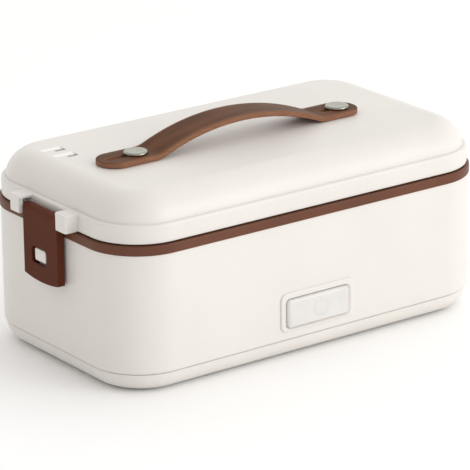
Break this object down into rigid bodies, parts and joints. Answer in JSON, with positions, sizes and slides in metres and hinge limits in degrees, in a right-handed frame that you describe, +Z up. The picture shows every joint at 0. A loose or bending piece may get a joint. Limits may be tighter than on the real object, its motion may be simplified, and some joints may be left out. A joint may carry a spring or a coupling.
{
  "type": "electric lunch box",
  "caption": "Rectangular heated food box with a lift-off domed lid, an end latch on each short side, a strap handle and a removable steel container.",
  "frame": {"origin": "centre of the footprint on the resting plane under the feet", "axes": "+X along the length, with the mains inlet at +X; -Y is the front with the power button; +Z up"},
  "size_m": [0.2476, 0.1352, 0.1164],
  "materials": {
    "body_cream": "fine satin, warm cream white",
    "umber_plastic": "satin, dark red-brown",
    "frosted_plastic": "frosted, cool white",
    "foot_rubber": "matt black",
    "screw_steel": "zinc-plated steel",
    "plate_alloy": "brushed aluminium",
    "bright_nickel": "brushed nickel plate",
    "black_plastic": "satin black",
    "board_green": "solder mask green",
    "wire_sleeve": "silicone sleeve, red",
    "silicone": "soft translucent white",
    "seal_rubber": "matt, dark grey-brown",
    "strap_leather": "smooth brown strap leather with lighter cut edges",
    "pan_steel": "drawn stainless steel, brushed inside"
  },
  "bodies": {
    "base": {"outer_shell": "body_cream", "base_cover": "body_cream", "feet": "foot_rubber", "base_screws": "screw_steel", "flange_ring": "umber_plastic", "chamber_tub": "umber_plastic", "heating_plate": "plate_alloy", "heater": "plate_alloy", "thermostat": "black_plastic", "thermal_fuse": "bright_nickel", "heater_clamp": "screw_steel", "clamp_screws": "screw_steel", "control_board": "board_green", "board_screws": "screw_steel", "switch_body": "black_plastic", "button_bezel": "body_cream", "inlet_socket": "black_plastic", "inlet_pins": "bright_nickel", "inlet_screws": "screw_steel", "wires": "wire_sleeve"},
    "button": {"power_button": "frosted_plastic", "button_icon": "frosted_plastic", "switch_plunger": "umber_plastic"},
    "lid": {"lid_shell": "body_cream", "lid_liner": "frosted_plastic", "liner_screws": "screw_steel", "lid_seal": "seal_rubber", "latch_pins": "screw_steel", "studs": "bright_nickel", "stud_nuts": "screw_steel"},
    "flap_left": {"latch_left": "umber_plastic"},
    "flap_right": {"latch_right": "umber_plastic"},
    "handle": {"strap": "strap_leather"},
    "container": {"food_pan": "pan_steel"},
    "container_cover": {"pan_lid": "frosted_plastic", "pan_seal": "silicone", "pan_valve": "silicone"}
  },
  "joints": [
    {"name": "lid_lift", "type": "slide", "parent": "base", "child": "lid", "axis": [0, 0, 1], "range_m": [0, 0.08]},
    {"name": "latch_left_swing", "type": "hinge", "parent": "lid", "child": "flap_left", "pos_m": [-0.1194, 0, 0.0827], "axis": [0, 1, 0], "range_deg": [0, 150.1]},
    {"name": "latch_right_swing", "type": "hinge", "parent": "lid", "child": "flap_right", "pos_m": [0.1194, 0, 0.0827], "axis": [0, -1, 0], "range_deg": [0, 150.1]},
    {"name": "strap_slide", "type": "slide", "parent": "lid", "child": "handle", "axis": [1, 0, 0], "range_m": [0, 0.009]},
    {"name": "button_press", "type": "slide", "parent": "base", "child": "button", "axis": [0, 1, 0], "range_m": [0, 0.0012], "stiffness_N_per_m": 800},
    {"name": "pan_lift", "type": "slide", "parent": "base", "child": "container", "axis": [0, 0, 1], "range_m": [0, 0.04]},
    {"name": "pan_lid_lift", "type": "slide", "parent": "container", "child": "container_cover", "axis": [0, 0, 1], "range_m": [0, 0.016]}
  ],
  "couplings": [
    {"joint": "latch_left_swing", "follows": "lid_lift", "rad_per_m": 32.72},
    {"joint": "latch_right_swing", "follows": "lid_lift", "rad_per_m": 32.72},
    {"joint": "pan_lift", "follows": "lid_lift", "ratio": 0.5},
    {"joint": "pan_lid_lift", "follows": "lid_lift", "ratio": 0.2}
  ]
}
